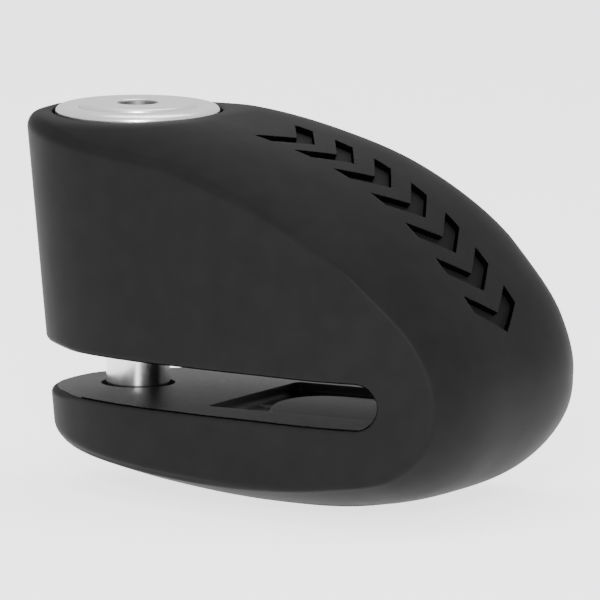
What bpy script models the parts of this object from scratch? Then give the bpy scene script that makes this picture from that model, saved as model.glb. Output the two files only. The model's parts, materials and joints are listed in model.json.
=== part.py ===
"""A push-down disc brake lock for a motorcycle, locked, built as it comes apart on a bench.

Lengths are in millimetres and become metres when a mesh becomes an object. Every piece is
drawn about the locking pin: X runs towards the nose, Z up, and Z = 0 is the floor of the disc
slot. PIN_X and FLOOR_Z then place that point in the part's frame, whose origin is the middle of
the underside. So every object's origin is on the axis that the plunger slides along and that
the key plug turns about. The two locking balls have their origins at their own centres.
"""

import math

import bmesh
import bpy
from mathutils import Matrix, Vector

MM = 0.001

# Where the locking pin's axis meets the slot floor, in the part's frame
PIN_X = -26.05
FLOOR_Z = 15.05

# The disc slot and what closes it
SLOT_HEIGHT = 7.0
SLOT_END_X = 56.5
PIN_R = 5.0
PIN_TIP_Z = -4.0
LIFT = 11.3
SOCKET_R = 5.8
SOCKET_FLOOR_Z = -5.6

# The body's walls
GAP = 0.3
SKIN = 1.8
FAR = 40.0

# Side view of the body on its middle plane, from the back of the top round the nose and under
SIDE_VIEW = [
    (-24, 41.9), (-14, 43.15), (0, 43.9), (14, 43.3), (27, 40.9), (39, 37.1), (50, 30.8),
    (59, 22.2), (65.8, 13.2), (68.6, 4.0), (66.9, -4.0), (60.2, -11.1), (48, -14.5),
    (33, -14.95), (16, -13.4), (0, -10.4), (-13, -7.3), (-24, -4.2),
]  # fmt: skip
# Half of the plan view, from the back end to past the nose
PLAN_VIEW = [
    (-11.65, 0), (-11.1, 5.0), (-8.8, 9.6), (-5, 13.4), (0, 16.6), (6, 19.3), (13, 21.6),
    (22, 23.3), (34, 24.7), (50, 25.7), (74, 20.0),
]  # fmt: skip
# The back end leans outwards: how far it stands out at the slot floor, and its slope
BACK_LEAN = 1.1
BACK_SLOPE = 0.088
LEAN_FADES = (-6.0, 22.0)
# The surface falls away sideways by the direction that it faces, from 0 straight down to 4
# straight up: the fall in mm at CROWN_Y from the middle, and the power of its curve
CROWN_Y = 23.5
CROWN = [
    (0, 3.8, 2.9), (1, 3.7, 3.1), (2, 4.0, 3.6), (3, 2.9, 4.2), (4, 5.9, 4.4),
]  # fmt: skip
STATIONS_Y = [0, 8, 14, 18.5, 22, 25.7]

# The plunger's bore and what slides in it
BORE_R = 10.3
BORE_FLOOR_Z = 11.3
BORE_TOP_Z = 36.6
WIPER_Z = (7.3, 8.8)
SLEEVE = (8.8, 10.0, 11.6, 34.3)
BARREL_R = 8.5
BARREL_Z = (18.0, 41.1)
CHAMBER_R = 6.8
CHAMBER_TOP_Z = 27.2
PLUG_BORE_R = 5.6
HEAD_R = 12.85
HEAD_HOLE_R = 13.35
HEAD_Z = (37.3, 42.6)
COLLAR_R = 15.5
DOWEL_Z = 32.6
DOWEL_R = 1.1
DOWEL_END_Y = 14.0
BUSH_R = 7.2
BUSH_FLANGE = (8.3, 0.6)
PIN_HEAD_R = 6.5
PIN_HEAD_Z = (20.2, 22.6)

# The lock's core
PLUG_R = 5.3
PLUG_WELL_R = 4.5
PLUG_Z = (27.5, 28.9, 42.4)
TAIL_HALF = 1.9
KEYHOLE_R = 3.3
DISC_COUNT = 6
DISC_R = 4.2
DISC_THICK = 1.3
DISC_PITCH = 1.75
DISC_START_Z = 29.5
BALL_R = 1.5
BALL_X = 7.95
BALL_Z = 25.0
BALL_TRAVEL = 1.05
CAM_R = 6.2
CAM_Z = (23.2, 26.6)

# The pocket in the slot floor and the plate under the nose
POCKET = (21.4, 58.0, 14.5, -2.0)
PLATE_X = (22.5, 56.0)
PLATE_HALF_WIDTH = 18.5
PLATE_CORNER_R = 4.0
HOLLOW = (30.0, 47.0, 13.0, -4.2)
PAD_HALF_WIDTH = 11.5
PAD_TIP_X = 25.8
PAD_NOSE = 9.0
PAD_RISE = 0.75
SCREW_HEAD_R = 1.9
SCREW_HEAD_Z = (0.5, 0.95)
SCREW_R = 1.0
SCREW_LENGTH = 7.2
SCREW_PLACES = [(26.2, -12.5), (26.2, 12.5), (50.0, -9.0), (50.0, 9.0)]


def clear_scene():
    for obj in list(bpy.data.objects):
        bpy.data.objects.remove(obj, do_unlink=True)


def material(name, color, roughness, metallic):
    made = bpy.data.materials.new(name)
    made.use_nodes = True
    shader = made.node_tree.nodes["Principled BSDF"]
    shader.inputs["Base Color"].default_value = (*color, 1.0)
    shader.inputs["Roughness"].default_value = roughness
    shader.inputs["Metallic"].default_value = metallic
    return made


def make_object(name, mesh_data, at=(0, 0, 0)):
    """An object from a bmesh in millimetres, with its origin at a point of the lock."""
    bmesh.ops.recalc_face_normals(mesh_data, faces=mesh_data.faces[:])
    shift = Matrix.Translation(-Vector(at))
    mesh_data.transform(Matrix.Scale(MM, 4) @ shift)
    mesh = bpy.data.meshes.new(name)
    mesh_data.to_mesh(mesh)
    mesh_data.free()
    mesh.shade_smooth()
    mesh.set_sharp_from_angle(angle=math.radians(35))
    obj = bpy.data.objects.new(name, mesh)
    bpy.context.scene.collection.objects.link(obj)
    obj.location = (Vector(at) + Vector((PIN_X, 0, FLOOR_Z))) * MM
    return obj


def piece(name, mesh_data, look, at=(0, 0, 0)):
    obj = make_object(name, mesh_data, at)
    obj.data.materials.append(look)
    return obj


def helper(name, mesh_data):
    """A shape that only cuts others."""
    obj = make_object(name, mesh_data)
    obj.hide_render = True
    obj.display_type = "WIRE"
    return obj


def boolean(obj, operation, *others):
    for other in others:
        modifier = obj.modifiers.new(f"{operation.lower()} {other.name}", "BOOLEAN")
        modifier.operation = operation
        modifier.object = other
    return obj


def cut(obj, *cutters):
    return boolean(obj, "DIFFERENCE", *cutters)


# Plain shapes


def turned(profile, segments=32):
    """A profile of (r, z) points turned about Z. It starts and ends on the axis, or is a ring."""
    shape = bmesh.new()
    rows = []
    for r, z in profile:
        if r == 0:
            rows.append([shape.verts.new((0, 0, z))] * segments)
            continue
        turns = [math.tau * k / segments for k in range(segments)]
        rows.append([shape.verts.new((r * math.cos(t), r * math.sin(t), z)) for t in turns])
    pairs = list(zip(rows, rows[1:]))
    if profile[0][0] != 0:
        pairs.append((rows[-1], rows[0]))
    for low, high in pairs:
        for k in range(segments):
            after = (k + 1) % segments
            corners = [low[k], low[after], high[after], high[k]]
            shape.faces.new(dict.fromkeys(corners))
    return shape


def ring(inner, outer, low, high, segments=32):
    return turned([(inner, low), (outer, low), (outer, high), (inner, high)], segments)


def rod(radius, low, high, segments=32):
    return turned([(0, low), (radius, low), (radius, high), (0, high)], segments)


def moved(shape, x=0.0, y=0.0, z=0.0):
    shape.transform(Matrix.Translation((x, y, z)))
    return shape


def laid(shape, axis, z=0.0, quarter=1):
    """The shape's +Z turned onto the X or Y axis, at height z."""
    turn = Matrix.Rotation(quarter * math.pi / 2, 4, "Y" if axis == "X" else "X")
    shape.transform(Matrix.Translation((0, 0, z)) @ turn)
    return shape


def extruded(outline, low, high, axis="Z"):
    """A prism on an outline of (x, y) points along Z, or of (x, z) points along Y."""
    shape = bmesh.new()
    ends = []
    for level in (low, high):
        if axis == "Z":
            ends.append([shape.verts.new((a, b, level)) for a, b in outline])
        else:
            ends.append([shape.verts.new((a, level, b)) for a, b in outline])
    shape.faces.new(ends[0])
    shape.faces.new(reversed(ends[1]))
    for k in range(len(outline)):
        after = (k + 1) % len(outline)
        shape.faces.new([ends[0][k], ends[0][after], ends[1][after], ends[1][k]])
    return shape


def block(x, y, z):
    corners = [(x[0], y[0]), (x[1], y[0]), (x[1], y[1]), (x[0], y[1])]
    return extruded(corners, z[0], z[1])


def arc(centre, radius, start, end, steps):
    """Points on a circle from one angle to another, in degrees."""
    angles = [math.radians(start + (end - start) * k / steps) for k in range(steps + 1)]
    return [(centre[0] + radius * math.cos(a), centre[1] + radius * math.sin(a)) for a in angles]


def spline(points, steps):
    """A centripetal Catmull-Rom curve through the points."""
    points = [Vector(p) for p in points]
    padded = [2 * points[0] - points[1], *points, 2 * points[-1] - points[-2]]
    curve = []
    for k in range(len(points) - 1):
        p = padded[k : k + 4]
        knots = [0.0]
        for a, b in zip(p, p[1:]):
            knots.append(knots[-1] + math.sqrt((b - a).length))
        for step in range(steps):
            t = knots[1] + (knots[2] - knots[1]) * step / steps
            level = p
            for span in (1, 2):
                level = [
                    a.lerp(b, (t - knots[i]) / (knots[i + span] - knots[i]))
                    for i, (a, b) in enumerate(zip(level, level[1:]))
                ]
            curve.append(level[0].lerp(level[1], (t - knots[1]) / (knots[2] - knots[1])))
    curve.append(points[-1])
    return curve


# The body's outer shape, and the same shape set in


def smoothstep(t):
    t = min(max(t, 0.0), 1.0)
    return t * t * (3 - 2 * t)


def outward_normals(curve):
    """The normals of a curve that runs clockwise, as seen with X right and Z up."""
    normals = []
    for k in range(len(curve)):
        along = curve[min(k + 1, len(curve) - 1)] - curve[max(k - 1, 0)]
        normals.append(Vector((-along.y, along.x)).normalized())
    return normals


def crown_drop(normal, y):
    """How far the surface falls away at y, where it faces along the normal."""
    up = 4 * (math.asin(max(-1.0, min(1.0, normal.y))) / math.pi + 0.5)
    for (low, *first), (high, *second) in zip(CROWN, CROWN[1:]):
        if up <= high:
            break
    share = (up - low) / (high - low)
    depth, power = (a + (b - a) * share for a, b in zip(first, second))
    return depth * (abs(y) / CROWN_Y) ** power


def crowned_belt(inset, steps=2):
    """The body's top, nose and underside, wider than the body and square at the sides."""
    curve = spline(SIDE_VIEW, steps)
    normals = outward_normals(curve)
    across = sorted({side * y for y in [*STATIONS_Y, FAR * 0.68] for side in (-1, 1)})
    shape = bmesh.new()
    rows = []
    for y in across:
        row = []
        for point, normal in zip(curve, normals):
            x, z = point - normal * (inset + crown_drop(normal, y))
            row.append(shape.verts.new((x, y, z)))
        rows.append(row)
    count = len(curve)
    for left, right in zip(rows, rows[1:]):
        for k in range(count):
            after = (k + 1) % count
            shape.faces.new([left[k], left[after], right[after], right[k]])
    shape.faces.new(rows[0])
    shape.faces.new(reversed(rows[-1]))
    bmesh.ops.triangulate(shape, faces=shape.faces[:])
    return shape


def plan_prism(inset, steps=3):
    """The body's upright sides, which lean out at the back end."""
    half = spline(PLAN_VIEW, steps)
    curve = [Vector((p.x, -p.y)) for p in reversed(half[1:])] + half
    shape = bmesh.new()
    rows = []
    for z in (-FAR, FAR * 1.5):
        row = []
        for point, normal in zip(curve, outward_normals(curve)):
            fade = 1 - smoothstep((point.x - LEAN_FADES[0]) / (LEAN_FADES[1] - LEAN_FADES[0]))
            out = (BACK_LEAN + BACK_SLOPE * z) * fade - inset
            row.append(shape.verts.new((*(point + normal * out), z)))
        rows.append(row)
    shape.faces.new(rows[0])
    shape.faces.new(reversed(rows[1]))
    for k in range(len(curve)):
        after = (k + 1) % len(curve)
        shape.faces.new([rows[0][k], rows[0][after], rows[1][after], rows[1][k]])
    bmesh.ops.triangulate(shape, faces=shape.faces[:])
    return shape


def underside_z(x, y):
    """The height of the body's underside, on its crown."""
    curve = spline(SIDE_VIEW, 8)
    low = [(p, n) for p, n in zip(curve, outward_normals(curve)) if n.y < -0.7]
    point, normal = min(low, key=lambda found: abs(found[0].x - x))
    return point.y + crown_drop(normal, y)


def slot_outline(grow):
    """The disc slot's side view: open at the back, full-round at its closed end."""
    radius = SLOT_HEIGHT / 2
    centre = (SLOT_END_X - radius, radius)
    return [(-FAR, SLOT_HEIGHT + grow), (-FAR, -grow)] + arc(centre, radius + grow, -90, 90, 10)


def plate_outline(grow):
    """The bottom plate's plan view: small corners at the back, one large round end."""
    back, front = PLATE_X
    half = PLATE_HALF_WIDTH + grow
    corner = PLATE_CORNER_R
    corner_x = back - grow + corner
    nose_x = front - PLATE_HALF_WIDTH
    points = arc((corner_x, half - corner), corner, 180, 90, 4)
    points += arc((nose_x, 0), half, 90, -90, 14)
    points += arc((corner_x, corner - half), corner, -90, -180, 4)
    return points


# The housing


def outer_cover(look):
    """The soft-touch jacket: open at the slot, round the plunger's head and under the nose."""
    cover = piece("outer_cover", crowned_belt(0), look)
    boolean(cover, "INTERSECT", helper("body_sides", plan_prism(0)))
    inside = helper("cover_inside", crowned_belt(SKIN))
    boolean(inside, "INTERSECT", helper("cover_inside_sides", plan_prism(SKIN)))
    cut(inside, helper("cover_collar", rod(COLLAR_R, BORE_TOP_Z + GAP, FAR * 2, 48)))
    cut(cover, inside)
    cut(cover, helper("cover_slot", extruded(slot_outline(GAP), -FAR, FAR, "Y")))
    cut(cover, helper("cover_head_hole", rod(HEAD_HOLE_R, BORE_TOP_Z - 2, FAR * 2, 48)))
    cut(cover, helper("cover_plate_hole", extruded(plate_outline(GAP), -FAR, -SKIN * 3)))
    return cover


def core_body(look):
    """The die-cast core that carries the slot, the plunger's bore, the jaw and the pocket."""
    core = piece("core_body", crowned_belt(SKIN + GAP), look)
    boolean(core, "INTERSECT", helper("core_sides", plan_prism(SKIN + GAP)))
    bush_bore = BUSH_R + GAP
    bore = [(0, SLOT_HEIGHT - 1), (bush_bore, SLOT_HEIGHT - 1), (bush_bore, BORE_FLOOR_Z)]
    bore += [(BORE_R, BORE_FLOOR_Z), (BORE_R, BORE_TOP_Z), (COLLAR_R + GAP, BORE_TOP_Z)]
    bore += [(COLLAR_R + GAP, FAR * 2), (0, FAR * 2)]
    cut(core, helper("core_slot", extruded(slot_outline(0), -FAR, FAR, "Y")))
    cut(core, helper("core_bore", turned(bore, 48)))
    cut(core, helper("core_socket", rod(SOCKET_R, SOCKET_FLOOR_Z, 1, 40)))
    back, front, half, floor = POCKET
    cut(core, helper("core_pocket", block((back, front), (-half, half), (floor, 1))))
    back, front, half, roof = HOLLOW
    cut(core, helper("core_hollow", block((back, front), (-half, half), (-FAR, roof))))
    dowel_hole = laid(rod(DOWEL_R + GAP, BORE_R - 2, DOWEL_END_Y + GAP, 12), "Y", DOWEL_Z, -1)
    cut(core, helper("core_dowel_hole", dowel_hole))
    for k, (x, y) in enumerate(SCREW_PLACES):
        hole_top = underside_z(x, y) + SCREW_LENGTH + 0.4
        hole = moved(rod(SCREW_R + GAP, -FAR, hole_top, 12), x, y)
        cut(core, helper(f"core_screw_hole_{k}", hole))
    return core


def bottom_plate(look):
    """The plate that closes the core's hollow, curved like the body, with sunk screw holes."""
    plate = piece("bottom_plate", crowned_belt(0), look)
    boolean(plate, "INTERSECT", helper("plate_edge", extruded(plate_outline(0), -FAR, -SKIN * 3)))
    cut(plate, helper("plate_inside", crowned_belt(SKIN)))
    for k, (x, y) in enumerate(SCREW_PLACES):
        face = underside_z(x, y)
        seat = face + SCREW_HEAD_Z[1] + GAP
        wide, narrow = SCREW_HEAD_R + 0.4, SCREW_R + GAP
        steps = [(0, -FAR), (wide, -FAR), (wide, seat), (narrow, seat), (narrow, 0), (0, 0)]
        cut(plate, helper(f"plate_screw_hole_{k}", moved(turned(steps, 16), x, y)))
    return plate


def plate_screw(name, x, y, look):
    """A short screw with a slotted head, sunk below the underside."""
    face = underside_z(x, y)
    low, neck = (face + z for z in SCREW_HEAD_Z)
    high = face + SCREW_LENGTH
    shape = [(0, low), (SCREW_HEAD_R, low), (SCREW_HEAD_R, neck), (SCREW_R, neck)]
    screw = piece(name, moved(turned([*shape, (SCREW_R, high), (0, high)], 16), x, y), look)
    socket = block((x - 0.25, x + 0.25), (y - 1.5, y + 1.5), (low - 1, low + 0.2))
    return cut(screw, helper(f"{name}_slot", socket))


def disc_pad(look):
    """The bullet-nosed pad in the slot's floor that the disc's edge settles against."""
    back = POCKET[1] - GAP
    floor = POCKET[3] + GAP
    shape = bmesh.new()
    rows = []
    across = [PAD_HALF_WIDTH * math.sin(math.radians(a)) for a in range(-90, 91, 15)]
    steps = 5
    for along in range(steps + 2):
        turn = math.radians(90 * min(along, steps) / steps)
        row = []
        for y in across:
            flank = math.sqrt(max(0.0, 1 - (y / PAD_HALF_WIDTH) ** 2))
            x = PAD_TIP_X + PAD_NOSE * (1 - flank) + 2 * (1 - math.cos(turn))
            height = PAD_RISE * math.sin(turn) * (0.35 + 0.65 * flank)
            row.append((back if along > steps else x, y, floor + 0.2 + height))
        rows.append(row)
    tops = [[shape.verts.new(point) for point in row] for row in rows]
    feet = [[shape.verts.new((x, y, floor)) for x, y, _ in row] for row in rows]
    last = len(across) - 1
    for k in range(len(rows) - 1):
        for j in range(last):
            shape.faces.new([tops[k][j], tops[k][j + 1], tops[k + 1][j + 1], tops[k + 1][j]])
            shape.faces.new([feet[k][j], feet[k + 1][j], feet[k + 1][j + 1], feet[k][j + 1]])
        for j in (0, last):
            shape.faces.new([feet[k][j], tops[k][j], tops[k + 1][j], feet[k + 1][j]])
    for k in (0, len(rows) - 1):
        for j in range(last):
            shape.faces.new([feet[k][j], feet[k][j + 1], tops[k][j + 1], tops[k][j]])
    return piece("disc_pad", shape, look)


def bore_sleeve(look):
    """The hard sleeve: a window behind each ball that runs out at its top, and a dowel hole."""
    inner, outer, low, high = SLEEVE
    sleeve = piece("bore_sleeve", ring(inner, outer, low, high, 40), look)
    window = block((-FAR, FAR), (-BALL_R - 0.4, BALL_R + 0.4), (BALL_Z - 2.0, high + 1))
    cut(sleeve, helper("sleeve_windows", window))
    hole = laid(rod(DOWEL_R + GAP, inner - 1, outer + 1, 12), "Y", DOWEL_Z, -1)
    return cut(sleeve, helper("sleeve_dowel_hole", hole))


def pin_bush(look):
    """The flanged bush that guides the pin. The return spring stands on its flange."""
    low, top = WIPER_Z[1] + GAP, SLEEVE[2]
    bore, (flange_r, flange) = PIN_R + GAP, BUSH_FLANGE
    shape = [(bore, low), (BUSH_R, low), (BUSH_R, top), (flange_r, top), (flange_r, top + flange)]
    return piece("pin_bush", turned([*shape, (bore, top + flange)], 40), look)


def return_spring(look):
    """A coil spring, its wire's ends cut square. It lifts the plunger when the balls let go."""
    radius, wire, turns, per_turn, sides = 7.7, 0.5, 3.25, 16, 6
    low = SLEEVE[2] + BUSH_FLANGE[1] + GAP + wire
    high = BARREL_Z[0] - GAP - wire
    count = int(turns * per_turn)
    shape = bmesh.new()
    rows = []
    for k in range(count + 1):
        turn = math.tau * k / per_turn
        z = low + (high - low) * k / count
        row = []
        for side in range(sides):
            a = math.tau * side / sides
            r = radius + wire * math.cos(a)
            point = (r * math.cos(turn), r * math.sin(turn), z + wire * math.sin(a))
            row.append(shape.verts.new(point))
        rows.append(row)
    shape.faces.new(rows[0])
    shape.faces.new(reversed(rows[-1]))
    for a, b in zip(rows, rows[1:]):
        for k in range(sides):
            after = (k + 1) % sides
            shape.faces.new([a[k], a[after], b[after], b[k]])
    return piece("return_spring", shape, look)


def pin_wiper(look):
    """The rubber ring that wipes the pin where it leaves the body."""
    low, high = WIPER_Z
    root = PIN_R + 0.9
    shape = [(root, low), (BUSH_R, low), (BUSH_R, high), (root, high), (PIN_R + GAP, high - 0.6)]
    return piece("pin_wiper", turned(shape, 40), look)


def guide_dowel(look):
    """The dowel that keeps the barrel from turning and stops it at the top."""
    shape = laid(rod(DOWEL_R, BARREL_R - 0.7, DOWEL_END_Y, 12), "Y", DOWEL_Z, -1)
    return piece("guide_dowel", shape, look)


# The plunger


def lock_barrel(look):
    """The barrel: pin seat and cam chamber below, the plug's bore above."""
    low, high = BARREL_Z
    ring_low = low + 0.9
    shape = [(CHAMBER_R, low), (BARREL_R, low), (BARREL_R, high), (PLUG_BORE_R, high)]
    shape += [(PLUG_BORE_R, CHAMBER_TOP_Z), (CHAMBER_R, CHAMBER_TOP_Z)]
    shape += [(CHAMBER_R, ring_low + 1.2), (CHAMBER_R + 0.7, ring_low + 1.2)]
    shape += [(CHAMBER_R + 0.7, ring_low), (CHAMBER_R, ring_low)]
    barrel = piece("lock_barrel", turned(shape, 40), look)
    ball_hole = laid(rod(BALL_R + GAP, -FAR, FAR, 16), "X", BALL_Z)
    cut(barrel, helper("barrel_ball_holes", ball_hole))
    slot_z = (DOWEL_Z - DOWEL_R - GAP - LIFT, DOWEL_Z + DOWEL_R + GAP)
    slot = block((-DOWEL_R - GAP, DOWEL_R + GAP), (BARREL_R - 1.05, BARREL_R + 1), slot_z)
    return cut(barrel, helper("barrel_slot", slot))


def locking_pin(look):
    """The hard steel pin, with a rounded tip and a head that the retaining ring holds."""
    tip_r = 1.8
    low, high = PIN_HEAD_Z
    tip = [(0, PIN_TIP_Z)] + arc((PIN_R - tip_r, PIN_TIP_Z + tip_r), tip_r, -90, 0, 5)
    shape = [*tip, (PIN_R, low), (PIN_HEAD_R, low), (PIN_HEAD_R, high), (0, high)]
    return piece("locking_pin", turned(shape, 40), look)


def pin_retaining_ring(look):
    low = BARREL_Z[0] + 1.2
    shape = piece("pin_retaining_ring", ring(PIN_R + 0.4, CHAMBER_R + 0.4, low, low + 0.6), look)
    gap = block((-1.2, 1.2), (0, FAR), (low - 1, low + 2))
    return cut(shape, helper("retaining_ring_gap", gap))


def cap_ring(look):
    """The plunger's head: a satin button with a domed rim, screwed onto the barrel."""
    low, rim = HEAD_Z
    web = BARREL_Z[1] + GAP
    shape = [(BARREL_R + GAP, low), (HEAD_R, low), (HEAD_R, rim), (HEAD_R - 0.3, rim + 0.65)]
    shape += [(HEAD_R - 1.1, rim + 1.1), (HEAD_R - 2.3, rim + 1.25), (9.5, rim + 1.05)]
    shape += [(9.5, rim), (PLUG_BORE_R, rim), (PLUG_BORE_R, web), (BARREL_R + GAP, web)]
    cap = piece("cap_ring", turned(shape, 48), look)
    hole = laid(rod(1.3, -BARREL_R, -HEAD_R - 1, 12), "X", low + 2)
    return cut(cap, helper("cap_grub_hole", hole))


def cap_grub_screw(look):
    shape = laid(rod(1.0, -HEAD_R + 0.4, -BARREL_R - 0.6, 12), "X", HEAD_Z[0] + 2)
    return piece("cap_grub_screw", shape, look)


def face_plate(look):
    """The anti-drill plate in the head, with the round keyhole."""
    low, high = HEAD_Z[1] + GAP, HEAD_Z[1] + 1.55
    return piece("face_plate", ring(KEYHOLE_R, 9.2, low, high, 40), look)


# The lock's core


def key_plug(look):
    """The plug: a well for the detainer discs, a slot for the side bar, a square tail."""
    low, well, high = PLUG_Z
    tail_low = CAM_Z[0] - 0.3
    shape = [(0, low), (PLUG_R, low), (PLUG_R, high), (PLUG_WELL_R, high)]
    shape += [(PLUG_WELL_R, well), (0, well)]
    plug = piece("key_plug", turned(shape, 36), look)
    square = (-TAIL_HALF, TAIL_HALF)
    boolean(plug, "UNION", helper("plug_tail", block(square, square, (tail_low, low + 0.5))))
    slot = block((DISC_R, PLUG_R + 1), (-1.0, 1.0), (well + 0.4, DISC_START_Z + 10.6))
    return cut(plug, helper("plug_side_bar_slot", slot))


def ball_cam(look):
    """The cam that holds the balls out. A quarter turn drops its radius by the balls' travel."""
    outline = []
    for degrees in range(0, 360, 10):
        after_lobe = degrees % 180
        if after_lobe < 30:
            drop = smoothstep(after_lobe / 30)
        elif after_lobe < 90:
            drop = 1.0
        else:
            drop = (180 - after_lobe) / 90
        turn = math.radians(degrees)
        radius = CAM_R - BALL_TRAVEL * drop
        outline.append((radius * math.cos(turn), radius * math.sin(turn)))
    cam = piece("ball_cam", extruded(outline, *CAM_Z), look)
    side = (-TAIL_HALF - GAP, TAIL_HALF + GAP)
    square = block(side, side, (CAM_Z[0] - 1, CAM_Z[1] + 1))
    return cut(cam, helper("cam_square_hole", square))


def detainer_disc(index, look):
    """A disc with a half-round key hole and, at its own angle, a gate for the side bar."""
    low = DISC_START_Z + DISC_PITCH * index
    disc = piece(f"detainer_disc_{index + 1}", rod(DISC_R, low, low + DISC_THICK, 28), look)
    hole = arc((0, 0), 2.4, -150, 150, 12)
    cut(disc, helper(f"disc_hole_{index}", extruded(hole, low - 1, low + DISC_THICK + 1)))
    gate = block((DISC_R - 0.8, DISC_R + 1), (-0.7, 0.7), (low - 1, low + DISC_THICK + 1))
    gate.transform(Matrix.Rotation(math.radians(90 + 18 * index), 4, "Z"))
    return cut(disc, helper(f"disc_gate_{index}", gate))


def side_bar(look):
    z = (DISC_START_Z + 0.1, DISC_START_Z + 10.0)
    return piece("side_bar", block((DISC_R + 0.3, PLUG_R - 0.1), (-0.7, 0.7), z), look)


def keyhole_shutter(look):
    low = PLUG_Z[2] - 1.8
    shutter = piece("keyhole_shutter", rod(DISC_R, low, low + 0.8, 28), look)
    mark = block((-2.0, 2.0), (-0.35, 0.35), (low + 0.4, low + 2))
    return cut(shutter, helper("shutter_groove", mark))


def locking_ball(name, side, look):
    shape = bmesh.new()
    bmesh.ops.create_uvsphere(shape, u_segments=16, v_segments=10, radius=BALL_R)
    centre = (side * BALL_X, 0, BALL_Z)
    return piece(name, moved(shape, *centre), look, centre)


def main():
    clear_scene()
    soft_black = material("soft_black", (0.028, 0.028, 0.029), 0.62, 0.0)
    cast_black = material("cast_black", (0.032, 0.032, 0.034), 0.5, 0.2)
    rubber = material("black_rubber", (0.02, 0.02, 0.02), 0.7, 0.0)
    steel = material("polished_steel", (0.7, 0.7, 0.7), 0.22, 1.0)
    satin = material("satin_silver", (0.72, 0.72, 0.73), 0.38, 0.9)
    dark_steel = material("dark_steel", (0.16, 0.16, 0.17), 0.4, 0.9)
    brass = material("brass", (0.65, 0.48, 0.2), 0.35, 1.0)

    outer_cover(soft_black)
    core_body(cast_black)
    bottom_plate(soft_black)
    for number, (x, y) in enumerate(SCREW_PLACES, 1):
        plate_screw(f"plate_screw_{number}", x, y, dark_steel)
    disc_pad(rubber)
    bore_sleeve(dark_steel)
    pin_bush(dark_steel)
    return_spring(steel)
    pin_wiper(rubber)
    guide_dowel(dark_steel)

    lock_barrel(dark_steel)
    locking_pin(steel)
    pin_retaining_ring(dark_steel)
    cap_ring(satin)
    cap_grub_screw(dark_steel)
    face_plate(satin)

    key_plug(brass)
    ball_cam(dark_steel)
    for index in range(DISC_COUNT):
        detainer_disc(index, brass)
    side_bar(dark_steel)
    keyhole_shutter(dark_steel)
    locking_ball("locking_ball_front", 1, steel)
    locking_ball("locking_ball_rear", -1, steel)


main()
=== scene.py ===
"""The looks of the disc brake lock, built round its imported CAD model.

Shapes are drawn in millimetres about the locking pin, where it meets the slot floor: X runs to
the nose and Z up. Body parts are fields, negative inside, that are meshed by dual contouring,
which keeps both their soft corners and their crisp edges. Round parts are turned profiles.
"""

import json
import math

import bpy
import numpy as np
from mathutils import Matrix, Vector


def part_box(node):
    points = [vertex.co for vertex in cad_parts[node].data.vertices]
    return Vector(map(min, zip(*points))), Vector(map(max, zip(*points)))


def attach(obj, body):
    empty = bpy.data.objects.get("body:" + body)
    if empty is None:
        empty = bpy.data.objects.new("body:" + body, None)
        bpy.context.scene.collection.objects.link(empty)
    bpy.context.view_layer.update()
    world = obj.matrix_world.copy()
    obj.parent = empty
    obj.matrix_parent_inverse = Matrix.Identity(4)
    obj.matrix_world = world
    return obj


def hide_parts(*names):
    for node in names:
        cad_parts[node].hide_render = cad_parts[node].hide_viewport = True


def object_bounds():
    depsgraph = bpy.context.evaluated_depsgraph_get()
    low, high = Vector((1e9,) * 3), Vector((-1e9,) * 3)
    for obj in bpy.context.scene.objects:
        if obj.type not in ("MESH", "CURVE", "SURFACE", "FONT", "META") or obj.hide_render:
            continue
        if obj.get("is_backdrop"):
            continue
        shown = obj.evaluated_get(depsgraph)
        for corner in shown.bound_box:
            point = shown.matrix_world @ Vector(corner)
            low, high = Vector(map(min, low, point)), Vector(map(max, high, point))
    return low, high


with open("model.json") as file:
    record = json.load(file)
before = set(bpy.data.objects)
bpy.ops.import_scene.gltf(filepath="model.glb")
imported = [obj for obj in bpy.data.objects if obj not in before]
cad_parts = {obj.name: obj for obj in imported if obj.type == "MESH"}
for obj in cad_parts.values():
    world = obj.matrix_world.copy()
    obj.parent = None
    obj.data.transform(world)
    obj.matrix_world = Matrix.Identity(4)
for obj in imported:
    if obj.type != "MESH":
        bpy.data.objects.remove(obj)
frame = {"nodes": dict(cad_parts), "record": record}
CAD_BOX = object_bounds()

MM = 0.001

# The origin of the shapes: the pin's axis at the slot floor
pin_low, pin_high = (Vector(corner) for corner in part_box("locking_pin"))
mounts = {mount["name"]: mount for mount in frame["record"]["mounts"]}
ORIGIN = Vector(((pin_low.x + pin_high.x) / 2, 0, mounts["slot_floor"]["pos_m"][2]))

# Sizes shared with the CAD model, in millimetres
SLOT_HEIGHT = 7.0
SLOT_END_X = 56.5
SKIN = 1.8
GAP = 0.3
HEAD_HOLE_R = 13.35
COLLAR_R = 15.5
COLLAR_Z = 36.9
SOCKET_R = 5.8
SOCKET_FLOOR_Z = -5.6
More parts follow.
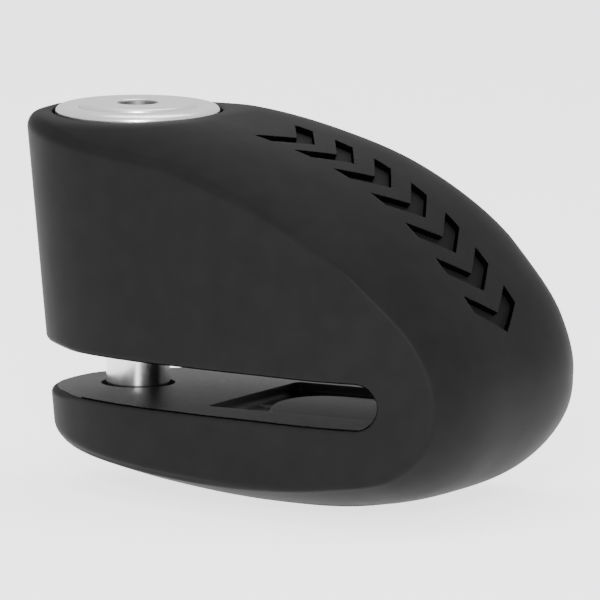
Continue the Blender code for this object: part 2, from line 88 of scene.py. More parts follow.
# The bore steps down from the head's recess to the sleeve and to the bush: (radius, floor)
BORE_STEPS = ((COLLAR_R + GAP, 36.6), (10.3, 11.3), (7.5, 3.0))
POCKET_X = (21.4, 58.0)
POCKET_Y = (-15.3, 12.7)
POCKET_Z = -2.0
PAD_HALF_WIDTH = 11.5
PAD_TIP_X = 25.8
PAD_NOSE = 9.0
PAD_Z = (-1.95, -0.75)
SCREW_HEAD_R = 1.9
SCREW_R = 1.0
SCREW_HEAD_HEIGHT = 0.45
SCREW_PITCH = 0.4
THREAD_DEPTH = 0.06
PLATE_SCREWS = [f"plate_screw_{number}" for number in range(1, 5)]
BALL_Z = 25.0
PLATE_X = (22.5, 56.0)
PLATE_HALF_WIDTH = 18.5
PLATE_CORNER_R = 4.0
SIDE_VIEW = [
    (-24, 41.9), (-14, 43.15), (0, 43.9), (14, 43.3), (27, 40.9), (39, 37.1), (50, 30.8),
    (59, 22.2), (65.8, 13.2), (68.6, 4.0), (66.9, -4.0), (60.2, -11.1), (48, -14.5),
    (33, -14.95), (16, -13.4), (0, -10.4), (-13, -7.3), (-24, -4.2),
]  # fmt: skip
PLAN_VIEW = [
    (-11.65, 0), (-11.1, 5.0), (-8.8, 9.6), (-5, 13.4), (0, 16.6), (6, 19.3), (13, 21.6),
    (22, 23.3), (34, 24.7), (50, 25.7), (74, 20.0),
]  # fmt: skip
BACK_LEAN = 1.1
BACK_SLOPE = 0.088
LEAN_FADES = (-6.0, 22.0)
CROWN = [3.8, 3.7, 4.0, 2.9, 5.9]
CROWN_POWERS = [2.9, 3.1, 3.6, 4.2, 4.4]
CROWN_Y = 23.5

# The light: an even sky, a floor that glows a little, a soft box above and two in front
SKY = 1.1
GLOW = 2.1
KEY = 1.5
FILL = 0.3
STRIP = 6.0

# The camera: a long lens, turned round to the nose and a little above
AZIMUTH = 29.9
ELEVATION = 8.49
DISTANCE = 2.0
VIEW_WIDTH = 93.75
VIEW_CENTRE = (25.28, 12.81)

# What the looks add
STEP = 0.35
INSET = 0.03
SEAM = 0.2
LIP = 0.35
LIP_BACK = 0.7
SLOT_RIM = 1.2
HOLE_EDGE_Z = 42.96
DISH_SLOPES = (0.3, 0.08)
FACE_R = 9.15
LINER_R = 3.3
EDGE_FILLET = 0.9
END_FILLET = 2.4
BACK_FADE = (-12, 20)
CREASE = 0.24
CREASE_WIDTH = 0.55
CREASE_FADE = (20, 25)
HOLE_FILLETS = (2.0, 0.25)
POCKET_FILLETS = (1.0, 0.8)
HOLLOW_TIP = (21.6, 0.5)
HOLLOW_SPREAD = 0.85
HOLLOW_END_X = 30
HOLLOW_DEPTH = 2.5
PLATE_GAP = 0.1
MARK_DEPTH = 1.0
MARK_COUNT = 7
MARK_PITCH = 7.4
MARK_START = 50.5
MARK_HALF_HEIGHT = 6.4
MARK_STROKE = 3.3
MARK_SLANT = 4.2


def smoothstep(t):
    t = np.clip(t, 0.0, 1.0)
    return t * t * (3 - 2 * t)


def spline(points, steps):
    """A centripetal Catmull-Rom curve through the points, as an array."""
    points = [np.array(p, float) for p in points]
    padded = [2 * points[0] - points[1], *points, 2 * points[-1] - points[-2]]
    curve = []
    for k in range(len(points) - 1):
        p = padded[k : k + 4]
        knots = [0.0]
        for a, b in zip(p, p[1:]):
            knots.append(knots[-1] + math.sqrt(np.linalg.norm(b - a)))
        for step in range(steps):
            t = knots[1] + (knots[2] - knots[1]) * step / steps
            level = p
            for span in (1, 2):
                level = [
                    a + (b - a) * ((t - knots[i]) / (knots[i + span] - knots[i]))
                    for i, (a, b) in enumerate(zip(level, level[1:]))
                ]
            last = (t - knots[1]) / (knots[2] - knots[1])
            curve.append(level[0] + (level[1] - level[0]) * last)
    curve.append(points[-1])
    return np.array(curve)


class CurveField:
    """The signed distance to a plane curve, positive on its left, looked up from a grid.

    With it come the nearest point's first coordinate, the second coordinate of its normal and
    its length along the curve.
    """

    def __init__(self, curve, low, high, cell=0.25):
        self.low, self.cell = np.array(low, float), cell
        count = [int((h - l) / cell) + 2 for l, h in zip(low, high)]
        grids = np.meshgrid(*[l + cell * np.arange(n) for l, n in zip(low, count)], indexing="ij")
        points = np.stack(grids, -1).reshape(-1, 2)
        start, along = curve[:-1], np.diff(curve, axis=0)
        lengths = np.linalg.norm(along, axis=1)
        run = np.concatenate([[0], np.cumsum(lengths)])
        tangents = np.gradient(curve, axis=0)
        tangents /= np.linalg.norm(tangents, axis=1)[:, None]
        rows = []
        for block in np.array_split(points, max(1, len(points) // 4000)):
            offset = block[:, None] - start
            t = np.clip((offset * along).sum(-1) / lengths**2, 0, 1)
            apart = ((offset - t[..., None] * along) ** 2).sum(-1)
            near = apart.argmin(1)
            pick = np.arange(len(block))
            t = t[pick, near][:, None]
            tangent = tangents[near] * (1 - t) + tangents[near + 1] * t
            foot = start[near] + along[near] * t
            normal = np.stack([-tangent[:, 1], tangent[:, 0]], -1)
            side = np.sign(((block - foot) * normal).sum(-1))
            distance = side * np.sqrt(apart[pick, near])
            length = run[near] + t[:, 0] * lengths[near]
            normal_b = normal[:, 1] / np.linalg.norm(normal, axis=1)
            rows.append(np.stack([distance, foot[:, 0], normal_b, length], -1))
        self.table = np.concatenate(rows).reshape(*count, 4).astype(np.float32)

    def __call__(self, a, b):
        a, b = np.broadcast_arrays(a, b)
        place = [(a - self.low[0]) / self.cell, (b - self.low[1]) / self.cell]
        cells = [np.clip(p.astype(int), 0, n - 2) for p, n in zip(place, self.table.shape)]
        f, g = [np.clip(p - c, 0, 1)[..., None] for p, c in zip(place, cells)]
        i, j = cells
        low = self.table[i, j] * (1 - f) + self.table[i + 1, j] * f
        high = self.table[i, j + 1] * (1 - f) + self.table[i + 1, j + 1] * f
        found = low * (1 - g) + high * g
        return [found[..., k] for k in range(4)]


# The body's fields


SIDE_STEPS = 24
side_field = CurveField(spline(SIDE_VIEW, SIDE_STEPS), (-22, -22), (76, 52))
plan_curve = spline(PLAN_VIEW, SIDE_STEPS)
plan_curve = np.concatenate([(plan_curve[1:] * (1, -1))[::-1], plan_curve])
plan_field = CurveField(plan_curve, (-24, -1), (76, 32))


def belt(x, y, z):
    """The crowned top, nose and underside, and the place along their middle line."""
    distance, _, facing, length = side_field(x, z)
    up = 4 * (np.arcsin(np.clip(facing, -1, 1)) / math.pi + 0.5)
    depth, power = (np.interp(up, range(5), table) for table in (CROWN, CROWN_POWERS))
    return distance + depth * (np.abs(y) / CROWN_Y) ** power, length


def sides(x, y, z):
    """The upright sides, which lean out at the back."""
    distance, foot, _, _ = plan_field(x, np.abs(y))
    fade = 1 - smoothstep((foot - LEAN_FADES[0]) / (LEAN_FADES[1] - LEAN_FADES[0]))
    return distance - (BACK_LEAN + BACK_SLOPE * z) * fade


def round_both(a, b, radius):
    """Inside both, with a fillet where they meet."""
    outside = np.sqrt(np.maximum(radius + a, 0) ** 2 + np.maximum(radius + b, 0) ** 2)
    return np.minimum(-radius, np.maximum(a, b)) + outside


def slot(x, z):
    radius = SLOT_HEIGHT / 2
    centre = SLOT_END_X - radius
    beyond = np.maximum(x - centre, 0)
    return np.sqrt(beyond**2 + (z - radius) ** 2) - radius


def plate_plan(x, y):
    """The bottom plate's plan view: small corners at the back, one large round end."""
    y = np.abs(y)
    nose_x = PLATE_X[1] - PLATE_HALF_WIDTH
    nose = np.sqrt(np.maximum(x - nose_x, 0) ** 2 + y**2) - PLATE_HALF_WIDTH
    return round_both(PLATE_X[0] - x, nose, PLATE_CORNER_R)


def cylinder(x, y, radius):
    return np.sqrt(x**2 + y**2) - radius


def marks(length, y):
    """A plain row of arrow heads along the ridge."""
    along = length - MARK_START - MARK_SLANT * (1 - np.abs(y) / MARK_HALF_HEIGHT)
    index = np.clip(np.round(along / MARK_PITCH), 0, MARK_COUNT - 1)
    return np.maximum(np.abs(along - index * MARK_PITCH) - MARK_STROKE / 2,
                      np.abs(y) - MARK_HALF_HEIGHT)


def rise(x, fade):
    """0 up to the fade's start, then up to 1 over its length."""
    return smoothstep((x - fade[0]) / fade[1])


def walls(x, y, z):
    """The upright walls, set in at the nose for the raised line on their edge."""
    return sides(x, y, z) + INSET + CREASE / 2 * rise(x, CREASE_FADE)


def body(x, y, z):
    """The outer surface, with its soft edges and no openings, and its plain parts."""
    crowned, length = belt(x, y, z)
    crowned, upright = crowned + INSET, walls(x, y, z)
    back = 1 - rise(x, BACK_FADE)
    fillet = EDGE_FILLET + (END_FILLET - EDGE_FILLET) * back
    # The edge is drawn by a fine line: sunk along the top, raised round the nose
    line = CREASE * (2 * rise(x, CREASE_FADE) - 1)
    line = line * np.exp(-(((crowned - upright) / CREASE_WIDTH) ** 2)) * (1 - back)
    return round_both(crowned, upright, fillet) - line, crowned, upright, length


def near_mouth(x):
    """1 at the slot's mouth, 0 inside from the pin on."""
    return smoothstep(-x / 6)


def cover_field(x, y, z):
    """The soft jacket: a shell with the button's hole, the slot, the marks and the plate's hole."""
    outer, crowned, upright, length = body(x, y, z)
    hole = cylinder(x, y, HEAD_HOLE_R)
    head = np.maximum(hole, COLLAR_Z - 3 - z)
    dish = z - HOLE_EDGE_Z - DISH_SLOPES[0] * np.maximum(hole, 0)
    dish = dish - DISH_SLOPES[1] * (HEAD_HOLE_R - np.abs(y))
    shape = round_both(round_both(outer, dish, HOLE_FILLETS[0]), -head, HOLE_FILLETS[1])
    shape = round_both(shape, SEAM - slot(x, z), 0.3 + 0.7 * near_mouth(x))
    shape = np.maximum(shape, -np.maximum(marks(length, y), -crowned - MARK_DEPTH))
    shape = np.maximum(shape, -np.maximum(plate_plan(x, y) - PLATE_GAP, z + 5))
    collar = np.maximum(cylinder(x, y, COLLAR_R), COLLAR_Z - z)
    inside = np.maximum(np.maximum(crowned, upright) + SKIN, -collar)
    return np.maximum(shape, -inside)


def core_field(x, y, z):
    """The casting: it fills the jacket and reaches out to the seam along the slot."""
    _, crowned, upright, _ = body(x, y, z)
    lip = LIP + LIP_BACK * near_mouth(x)
    near_slot = np.maximum(np.maximum(slot(x, z) - SLOT_RIM, upright + lip), crowned + LIP)
    shape = np.minimum(np.maximum(crowned, upright) + SKIN + GAP, near_slot)
    shape = np.maximum(shape, -slot(x, z))
    shape = np.maximum(shape, -np.maximum(cylinder(x, y, SOCKET_R), SOCKET_FLOOR_Z - z))
    for radius, floor in BORE_STEPS:
        shape = np.maximum(shape, -np.maximum(cylinder(x, y, radius), floor - z))
    across = np.maximum(POCKET_Y[0] - y, y - POCKET_Y[1])
    pocket = round_both(POCKET_X[0] - x, across, POCKET_FILLETS[0])
    pocket = np.maximum(np.maximum(pocket, x - POCKET_X[1]), z - 1)
    pocket = round_both(pocket, POCKET_Z - z, POCKET_FILLETS[1])
    # A hollow that widens towards the nose opens in front of the pad
    hollow = np.abs(y - HOLLOW_TIP[1]) - HOLLOW_SPREAD * (x - HOLLOW_TIP[0])
    hollow = np.maximum(hollow, x - HOLLOW_END_X)
    hollow = np.maximum(np.maximum(hollow, POCKET_Z - HOLLOW_DEPTH - z), z - POCKET_Z - 0.2)
    return np.maximum(shape, -np.minimum(pocket, hollow))


def pad_field(x, y, z):
    """A bullet-nosed pad, crowned across."""
    across = np.clip(1 - (y / PAD_HALF_WIDTH) ** 2, 0, 1) ** 0.5
    nose = PAD_TIP_X + PAD_NOSE * (1 - across) - x
    top = PAD_Z[1] - (PAD_Z[1] - PAD_Z[0]) * 0.75 * (1 - across)
    edge = round_both(nose, np.abs(y) - PAD_HALF_WIDTH, 0.5)
    shape = round_both(np.maximum(edge, x - POCKET_X[1] + GAP), z - top, 0.9)
    return np.maximum(shape, PAD_Z[0] - z)


def plate_field(x, y, z):
    """The plate over the hollow, curved like the body, with sunk screw holes."""
    crowned = belt(x, y, z)[0] + INSET
    shape = round_both(crowned, plate_plan(x, y) + PLATE_GAP, 0.25)
    shape = np.maximum(shape, 0.1 - crowned - SKIN)
    for node in PLATE_SCREWS:
        low, high = node_box(node)
        along, across = x - (low.x + high.x) / 2, y - (low.y + high.y) / 2
        seat = low.z + SCREW_HEAD_HEIGHT + GAP
        hole = round_both(cylinder(along, across, SCREW_HEAD_R + 0.4), z - seat, 0.1)
        hole = np.minimum(hole, cylinder(along, across, SCREW_R + GAP))
        shape = round_both(shape, -hole, 0.2)
    return shape


# Meshing a field


def gradient(field, points, reach=0.06):
    columns = []
    for axis in range(3):
        ends = []
        for way in (reach, -reach):
            moved = points.copy()
            moved[:, axis] += way
            ends.append(field(*moved.T))
        columns.append(ends[0] - ends[1])
    normal = np.stack(columns, -1)
    return normal / np.maximum(np.linalg.norm(normal, axis=1), 1e-9)[:, None]


def contour(field, low, high, step):
    """A mesh of the field's zero surface by dual contouring: (points, quads)."""
    axes = [np.arange(l - 1.5 * step, h + 1.6 * step, step) for l, h in zip(low, high)]
    shape = [len(axis) for axis in axes]
    values = np.empty(shape, np.float32)
    for i, x in enumerate(axes[0]):
        values[i] = field(np.full((1, 1), x), axes[1][:, None], axes[2][None, :])
    inside = values < 0
    feet, ways, cells, quads = [], [], [], []
    for axis in range(3):
        count = shape[axis] - 1
        a = np.take(inside, range(count), axis)
        b = np.take(inside, range(1, count + 1), axis)
        edge = np.stack(np.nonzero(a != b), -1)
        start = np.stack([axes[k][edge[:, k]] for k in range(3)], -1)
        along = np.eye(3, dtype=int)[axis]
        first = values[tuple(edge.T)]
        second = values[tuple((edge + along).T)]
        near, far = np.zeros(len(edge)), np.ones(len(edge))
        for _ in range(2):
            t = near + (far - near) * first / (first - second)
            middle = field(*(start + (t * step)[:, None] * along).T)
            same = (middle < 0) == (first < 0)
            near, first = np.where(same, t, near), np.where(same, middle, first)
            far, second = np.where(same, far, t), np.where(same, second, middle)
        t = near + (far - near) * first / (first - second)
        foot = start + (t * step)[:, None] * along
        way = gradient(field, foot)
        corners = []
        for du, dv in ((-1, -1), (0, -1), (0, 0), (-1, 0)):
            corner = edge.copy()
            corner[:, (axis + 1) % 3] += du
            corner[:, (axis + 2) % 3] += dv
            corners.append(np.ravel_multi_index(tuple(corner.T), shape))
        corners = np.stack(corners, -1)
        outward = inside[tuple(edge.T)]
        quads.append(np.where(outward[:, None], corners, corners[:, ::-1]))
        feet.append(np.repeat(foot, 4, 0))
        ways.append(np.repeat(way, 4, 0))
        cells.append(corners.reshape(-1))
    feet, ways, cells = (np.concatenate(parts) for parts in (feet, ways, cells))
    used, which = np.unique(cells, return_inverse=True)

    def per_cell(weights):
        return np.bincount(which, weights, len(used))

    count = per_cell(np.ones(len(which)))
    middle = np.stack([per_cell(feet[:, k]) for k in range(3)], -1) / count[:, None]
    gap = (ways * (feet - middle[which])).sum(-1)
    matrix = np.empty((len(used), 3, 3))
    for i in range(3):
        for j in range(3):
            matrix[:, i, j] = per_cell(ways[:, i] * ways[:, j])
    matrix += 0.05 * np.eye(3)
    right = np.stack([per_cell(ways[:, k] * gap) for k in range(3)], -1)
    points = middle + np.linalg.solve(matrix, right[..., None])[..., 0]
    corner = np.stack([axes[k][index] for k, index in enumerate(np.unravel_index(used, shape))], -1)
    points = np.clip(points, corner, corner + step)
    return points, np.searchsorted(used, np.concatenate(quads))


def finished(name, points, faces, look, body_name, stands_for, sharp=35, patches=()):
    """A piece made from points in millimetres about the pin, on its body.

    Each patch is another look and a test of the faces' middles that says where it goes.
    """
    mesh = bpy.data.meshes.new(name)
    places = [tuple(p) for p in np.asarray(points) * MM + np.array(ORIGIN)]
    mesh.from_pydata(places, [], [list(map(int, f)) for f in faces])
    mesh.shade_smooth()
    mesh.set_sharp_from_angle(angle=math.radians(sharp))
    mesh.materials.append(look)
    if patches:
        middles = np.asarray(points)[np.asarray(faces)].mean(1)
        index = np.zeros(len(faces), np.int32)
        for number, (patch_look, test) in enumerate(patches, 1):
            mesh.materials.append(patch_look)
            index[test(*middles.T)] = number
        mesh.polygons.foreach_set("material_index", index)
    obj = bpy.data.objects.new(name, mesh)
    bpy.context.scene.collection.objects.link(obj)
    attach(obj, body_name)
    if stands_for:
        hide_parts(*stands_for)
    return obj


def node_box(node):
    """A CAD node's corners in the shapes' millimetres."""
    return [(Vector(corner) - ORIGIN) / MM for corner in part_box(node)]


def field_piece(name, field, box, step, look, body_name, node, patches=()):
    """A part meshed from its field, in place of its CAD node."""
    points, quads = contour(field, *box, step)
    return finished(name, points, quads, look, body_name, [node], patches=patches)


# The marks get painted shade: their walls near black and their floors darker than the jacket, for
# the shadow in the recess.
def in_mark_walls(x, y, z):
    crowned, length = belt(x, y, z)
    return (np.abs(marks(length, y)) < 0.12) & (crowned < -0.1) & (crowned > -MARK_DEPTH)


def in_mark_floors(x, y, z):
    crowned, length = belt(x, y, z)
    return (marks(length, y) < -0.1) & (np.abs(crowned + MARK_DEPTH) < 0.2)


def in_pocket_floor(x, y, z):
    """The pocket's floor, up to its fillets, painted a lighter grey for the light that falls on it.
    """
    inside = (x > POCKET_X[0] + 0.2) & (y > POCKET_Y[0] + 0.2) & (y < POCKET_Y[1] - 0.2)
    return inside & (np.abs(z - POCKET_Z) < 0.35)


def in_seam_shadow(x, y, z):
    """The casting's edge in the gap between it and the jacket, along the slot: painted shadow, near
    black, for the shade that falls in the gap.
    """
    return (np.abs(walls(x, y, z) + LIP) < 0.15) & (slot(x, z) < 1.0) & (x > 0)


def turned(profile, segments=96):
    """Points and faces of an (r, z) profile turned about Z; a ring, or closed on the axis."""
    points, rows, faces = [], [], []
    for r, z in profile:
        if r == 0:
            points.append((0, 0, z))
            rows.append([len(points) - 1] * segments)
            continue
        first = len(points)
        for k in range(segments):
            turn = math.tau * k / segments
            points.append((r * math.cos(turn), r * math.sin(turn), z))
        rows.append(list(range(first, first + segments)))
    pairs = list(zip(rows, rows[1:]))
    if profile[0][0] != 0:
        pairs.append((rows[-1], rows[0]))
    for low, high in pairs:
        for k in range(segments):
            after = (k + 1) % segments
            faces.append(list(dict.fromkeys([low[k], low[after], high[after], high[k]])))
    return points, faces


def arc(centre, radius, start, end, steps=8):
    """Points on a circle from one angle to another, in degrees."""
    angles = [math.radians(start + (end - start) * k / steps) for k in range(steps + 1)]
    return [(centre[0] + radius * math.cos(a), centre[1] + radius * math.sin(a)) for a in angles]


# Materials


class Look:
    """A Principled material and the nodes that vary it."""

    def __init__(self, name, color, roughness, metallic=0.0):
        self.material = bpy.data.materials.new(name)
        self.material.use_nodes = True
        self.tree = self.material.node_tree
        self.shader = self.tree.nodes["Principled BSDF"]
        self.color = color
        self.set("Base Color", (*color, 1.0))
        self.set("Roughness", roughness)
        self.set("Metallic", metallic)
        self.place = self.tree.nodes.new("ShaderNodeTexCoord").outputs["Object"]

    def set(self, socket, value):
        self.shader.inputs[socket].default_value = value

    def noise(self, scale, detail=2.0, stretch=None):
        node = self.tree.nodes.new("ShaderNodeTexNoise")
        node.inputs["Scale"].default_value = scale
        node.inputs["Detail"].default_value = detail
        place = self.place
        if stretch:
            mapping = self.tree.nodes.new("ShaderNodeMapping")
            mapping.inputs["Scale"].default_value = stretch
            self.tree.links.new(place, mapping.inputs["Vector"])
            place = mapping.outputs["Vector"]
        self.tree.links.new(place, node.inputs["Vector"])
        return node.outputs["Fac"]

    def ranged(self, value, low, high, target):
        node = self.tree.nodes.new("ShaderNodeMapRange")
        node.inputs["To Min"].default_value = low
        node.inputs["To Max"].default_value = high
        self.tree.links.new(value, node.inputs["Value"])
        self.tree.links.new(node.outputs["Result"], self.shader.inputs[target])

    def shades(self, value, spread):
        """The base colour, a little darker and lighter with the value."""
        ramp = self.tree.nodes.new("ShaderNodeValToRGB")
        ramp.color_ramp.elements[0].position = 0.3
        ramp.color_ramp.elements[1].position = 0.7
        for element, part in zip(ramp.color_ramp.elements, (1 - spread, 1 + spread)):
            element.color = (*[c * part for c in self.color], 1.0)
        self.tree.links.new(value, ramp.inputs["Fac"])
        self.tree.links.new(ramp.outputs["Color"], self.shader.inputs["Base Color"])

    def bump(self, value, strength, distance):
        node = self.tree.nodes.new("ShaderNodeBump")
        node.inputs["Strength"].default_value = strength
        node.inputs["Distance"].default_value = distance
        self.tree.links.new(value, node.inputs["Height"])
        self.tree.links.new(node.outputs["Normal"], self.shader.inputs["Normal"])


def soft_touch(name, color, roughness, gloss):
    """Rubbery paint: a very fine grain and slow changes in gloss."""
    look = Look(name, color, roughness)
    look.set("Specular IOR Level", gloss)
    look.shades(look.noise(260, 3), 0.08)
    look.ranged(look.noise(180, 2), roughness - 0.04, roughness + 0.05, "Roughness")
    look.bump(look.noise(9000, 2), 0.12, 0.00003)
    return look.material


def cast_metal(name, color, roughness, gloss):
    """Painted casting: an orange-peel skin."""
    look = Look(name, color, roughness)
    look.set("Specular IOR Level", gloss)
    look.shades(look.noise(400, 3), 0.1)
    look.ranged(look.noise(1500, 2), roughness - 0.05, roughness + 0.05, "Roughness")
    look.bump(look.noise(2600, 3), 0.15, 0.00005)
    return look.material


def turned_metal(name, color, roughness, stretch, depth):
    """Machined metal: fine tool marks, close together along one axis."""
    look = Look(name, color, roughness, 1.0)
    lines = look.noise(1000, 2, stretch)
    look.ranged(lines, roughness - 0.05, roughness + 0.06, "Roughness")
    look.shades(look.noise(500, 2), 0.03)
    look.bump(lines, 0.1, depth)
    return look.material


def rubber(name, color=(0.03, 0.03, 0.03), roughness=0.6, gloss=0.3):
    look = Look(name, color, roughness)
    look.set("Specular IOR Level", gloss)
    look.shades(look.noise(900, 2), 0.12)
    look.bump(look.noise(5000, 2), 0.2, 0.00004)
    return look.material


COVER = soft_touch("soft_touch_black", (0.009, 0.009, 0.009), 0.48, 0.034)
CORE = cast_metal("cast_black", (0.012, 0.012, 0.012), 0.45, 0.25)
# Painted light: a lighter copy of the casting's black for the pocket's floor.
POCKET_LIT = cast_metal("cast_black_lit", (0.04, 0.04, 0.04), 0.6, 0.4)
PAD = rubber("pad_rubber", (0.045, 0.045, 0.045), 0.5, 0.4)
# Painted shade: a darker black for the marks' floors, where shade falls in the recess.
RECESS_SHADE = rubber("mark_floor_shade", (0.003, 0.003, 0.003), 0.7, 0.1)
# Painted shadow: near black, put on the casting's edge in the slot's seam and on the marks' walls,
# where shade falls.
SHADOW = rubber("painted_shadow_black", (0.001, 0.001, 0.001), 0.9, 0.0)
STEEL = turned_metal("pin_steel", (0.72, 0.72, 0.72), 0.2, (1, 1, 0.06), 0.0000015)
SATIN = turned_metal("satin_silver", (0.8, 0.8, 0.81), 0.3, (1, 1, 4), 0.000003)
DARK = turned_metal("dark_steel", (0.2, 0.2, 0.21), 0.34, (0.4, 0.4, 4), 0.000006)
MOUTH = turned_metal("keyhole_steel", (0.25, 0.25, 0.25), 0.5, (1, 1, 1), 0.000003)
BRASS = turned_metal("brass", (0.66, 0.5, 0.24), 0.3, (0.4, 0.4, 4), 0.000006)


# The pieces


def housing():
    """The jacket, the casting, the plate under them and the pad in the slot."""
    box = (-17.5, -26.2, -15.6), (69.0, 26.2, 44.4)
    field_piece("jacket", cover_field, box, STEP, COVER, "housing", "outer_cover",
                [(SHADOW, in_mark_walls), (RECESS_SHADE, in_mark_floors)])
    field_piece("casting", core_field, box, STEP * 1.1, CORE, "housing", "core_body",
                [(SHADOW, in_seam_shadow), (POCKET_LIT, in_pocket_floor)])
    box = (22.0, -19.0, -15.6), (56.5, 19.0, -6.0)
    field_piece("underside_plate", plate_field, box, STEP, COVER, "housing", "bottom_plate")
    box = (25.5, -12.0, -2.0), (58.2, 12.0, 0.0)
    field_piece("slot_pad", pad_field, box, STEP * 0.6, PAD, "housing", "disc_pad")


def wiper():
    """A rubber ring with a thin lip, round the pin where it leaves the body."""
    low, high = node_box("pin_wiper")
    lip, root, outer = 5.25, 5.9, high.x
    profile = [(root, low.z), (outer, low.z), (outer, high.z), (root, high.z), (lip, high.z - 0.5)]
    points, faces = turned(profile, 128)
    finished("wiper_ring", points, faces, PAD, "housing", ["pin_wiper"])


def plate_screws():
    """Slotted heads, sunk in the plate."""
    for number, node in enumerate(PLATE_SCREWS, 1):
        low, high = node_box(node)
        middle_x, middle_y = (low.x + high.x) / 2, (low.y + high.y) / 2
        neck = low.z + SCREW_HEAD_HEIGHT

        def field(x, y, z):
            x, y = x - middle_x, y - middle_y
            head = round_both(cylinder(x, y, SCREW_HEAD_R), low.z - z, 0.15)
            head = np.maximum(head, z - neck)
            turns = math.tau * (z - low.z) / SCREW_PITCH
            thread = SCREW_R - THREAD_DEPTH + THREAD_DEPTH * np.sin(turns)
            shank = np.maximum(cylinder(x, y, thread), np.maximum(low.z + 0.2 - z, z - high.z))
            slit = np.maximum(np.abs(x) - 0.25, z - low.z - 0.22)
            return np.maximum(np.minimum(head, shank), -slit)

        step = 0.12
        field_piece(f"plate_screw_fine_{number}", field, (low, high), step, DARK, "housing",
                    node)


def barrel():
    """The lock barrel: it shows under the push button when the lock is open."""
    low, high = node_box("lock_barrel")
    radius = high.x
    bore, socket, socket_top = 5.6, 6.8, 27.2
    ball_hole = 1.8
    keyway_half, keyway_depth, keyway_z = 1.4, 1.05, (19.8, 34.1)

    def field(x, y, z):
        shape = round_both(cylinder(x, y, radius), np.maximum(low.z - z, z - high.z), 0.3)
        hollow = np.maximum(cylinder(x, y, socket), z - socket_top)
        hollow = np.minimum(cylinder(x, y, bore), hollow)
        balls = np.sqrt(y**2 + (z - BALL_Z) ** 2) - ball_hole
        keyway = np.maximum(np.abs(x) - keyway_half, radius - keyway_depth - y)
        keyway = np.maximum(keyway, np.maximum(keyway_z[0] - z, z - keyway_z[1]))
        return np.maximum(shape, -np.minimum(np.minimum(hollow, balls), keyway))

    field_piece("barrel", field, (low, high), 0.3, DARK, "plunger",
                "lock_barrel")


def shutter():
    """The spring shutter behind the keyhole, with its key slot."""
    low, high = node_box("keyhole_shutter")

    def field(x, y, z):
        shape = round_both(cylinder(x, y, high.x), z - high.z, 0.2)
        key = np.maximum(np.maximum(np.abs(x) - 2.0, np.abs(y) - 0.35), high.z - 0.4 - z)
        return np.maximum(np.maximum(shape, low.z - z), -key)

    field_piece("shutter", field, (low, high), 0.12, MOUTH, "key_core",
                "keyhole_shutter")


def locking_pin():
    """The pin: a round tip, a plain shank and a flat head that the barrel holds."""
    low, high = node_box("locking_pin")
    radius, tip = 5.0, 1.8
    head_r, neck, bevel = high.x, high.z - 2.4, 0.3
    profile = [(0, low.z)] + arc((radius - tip, low.z + tip), tip, -90, 0, 10)
    profile += [(radius, neck), (head_r, neck), (head_r, high.z - bevel)]
    profile += [(head_r - bevel, high.z), (0, high.z)]
    points, faces = turned(profile, 128)
    finished("steel_pin", points, faces, STEEL, "plunger", ["locking_pin"])


def head():
    """The push button: a flat face that stands a little proud of its domed ring."""
    low, high = node_box("cap_ring")
    face_low, face_high = node_box("face_plate")
    radius, top = high.x, face_high.z
    rim = spline(
        [(radius, top - 1.75), (radius - 0.03, top - 1.2), (radius - 0.35, top - 0.72),
         (radius - 1.1, top - 0.42), (radius - 2.2, top - 0.32), (10.4, top - 0.36),
         (9.8, top - 0.5), (9.45, top - 0.62), (FACE_R + 0.08, top - 0.66)], 10)
    profile = [(8.8, low.z), (radius - 0.3, low.z), (radius, low.z + 0.3), *map(tuple, rim)]
    profile += [(FACE_R + 0.02, top - 0.7), (FACE_R + 0.02, face_low.z - 0.1)]
    profile += [(5.6, face_low.z - 0.1), (5.6, 41.4), (8.8, 41.4)]
    points, faces = turned(profile, 160)
    finished("head_ring", points, faces, SATIN, "plunger", ["cap_ring"], 25)
    edge = spline([(FACE_R, top - 0.65), (FACE_R - 0.02, top - 0.35), (FACE_R - 0.18, top - 0.1),
                   (FACE_R - 0.5, top)], 6)
    profile = [(LINER_R, face_low.z), (FACE_R, face_low.z), *map(tuple, edge)]
    profile += [(LINER_R + 0.12, top), (LINER_R, top - 0.12)]
    points, faces = turned(profile, 160)
    finished("head_face", points, faces, SATIN, "plunger", ["face_plate"], 25)
    # A dark steel liner in the keyhole's bore: its darker colour is painted shade on the hole's
    # wall.
    bore, foot = LINER_R - 0.3, face_low.z + 0.1
    profile = [(bore, foot), (LINER_R, foot), (LINER_R, top - 0.1)]
    profile += [(bore + 0.15, top - 0.1), (bore, top - 0.25)]
    points, faces = turned(profile, 96)
    finished("keyhole_shade_liner", points, faces, MOUTH, "plunger", [], 25)


def camera():
    azimuth, elevation = math.radians(AZIMUTH), math.radians(ELEVATION)
    right = Vector((math.cos(azimuth), math.sin(azimuth), 0))
    back = Vector((math.sin(azimuth), -math.cos(azimuth), 0)) * math.cos(elevation)
    back.z = math.sin(elevation)
    up = back.cross(right)
    centre = ORIGIN + (right * VIEW_CENTRE[0] + up * VIEW_CENTRE[1]) * MM
    data = bpy.data.cameras.new("camera")
    data.lens = data.sensor_width * DISTANCE / (VIEW_WIDTH * MM)
    data.clip_end = 20
    obj = bpy.data.objects.new("camera", data)
    obj.location = centre + back * DISTANCE
    obj.rotation_euler = back.to_track_quat("Z", "Y").to_euler()
    bpy.context.scene.collection.objects.link(obj)
    bpy.context.scene.camera = obj


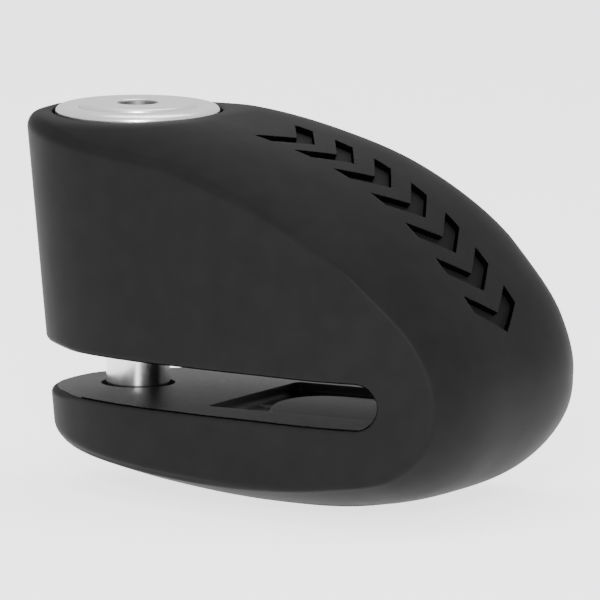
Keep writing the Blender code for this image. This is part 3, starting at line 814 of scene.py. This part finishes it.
def area_light(name, place, target, size, power):
    """A soft box that lights the object and doesn't show as a white card behind it."""
    data = bpy.data.lights.new(name, "AREA")
    data.shape = "RECTANGLE"
    data.size, data.size_y = size
    data.energy = power
    obj = bpy.data.objects.new(name, data)
    obj.location = place
    obj.visible_camera = False
    obj.rotation_euler = (Vector(place) - Vector(target)).to_track_quat("Z", "Y").to_euler()
    bpy.context.scene.collection.objects.link(obj)


def studio():
    """The sky, the lights and a plain pale floor."""
    world = bpy.data.worlds.new("studio")
    world.use_nodes = True
    background = world.node_tree.nodes["Background"]
    background.inputs["Color"].default_value = (1, 1, 1, 1)
    background.inputs["Strength"].default_value = SKY
    bpy.context.scene.world = world
    area_light("top", (0.0, 0.1, 0.5), (0, 0, 0.03), (0.4, 0.4), KEY)
    area_light("front", (0.35, -0.4, 0.42), (0, 0, 0.05), (0.15, 0.15), FILL)
    area_light("strip", (0.3, -0.6, 0.24), (0.02, 0, 0.02), (0.12, 0.12), STRIP)

    half = 3.0
    mesh = bpy.data.meshes.new("floor")
    corners = [(-half, -half, 0), (half, -half, 0), (half, half, 0), (-half, half, 0)]
    mesh.from_pydata(corners, [], [(0, 1, 2, 3)])
    floor = bpy.data.objects.new("floor", mesh)
    floor.location.z = CAD_BOX[0][2] - 0.0005
    look = Look("floor", (0.6, 0.6, 0.6), 0.9)
    look.set("Specular IOR Level", 0.0)
    look.set("Emission Color", (1, 1, 1, 1))
    look.set("Emission Strength", GLOW)
    mesh.materials.append(look.material)
    bpy.context.scene.collection.objects.link(floor)
    floor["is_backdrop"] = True


NODE_LOOKS = {
    "dark_steel": DARK,
    "brass": BRASS,
    "polished_steel": STEEL,
    "satin_silver": SATIN,
    "black_rubber": PAD,
    "soft_black": COVER,
    "cast_black": CORE,
}


def inner_parts():
    """The CAD nodes that keep their own shape."""
    slots = {part["node"]: part["material_slot"] for part in frame["record"]["subparts"]}
    for name, node in frame["nodes"].items():
        node.data.materials.clear()
        node.data.materials.append(NODE_LOOKS[slots[name]])


camera()
studio()
inner_parts()
housing()
wiper()
plate_screws()
locking_pin()
barrel()
head()
shutter()

[[list(map(float, corner)) for corner in box] for box in (CAD_BOX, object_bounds())]
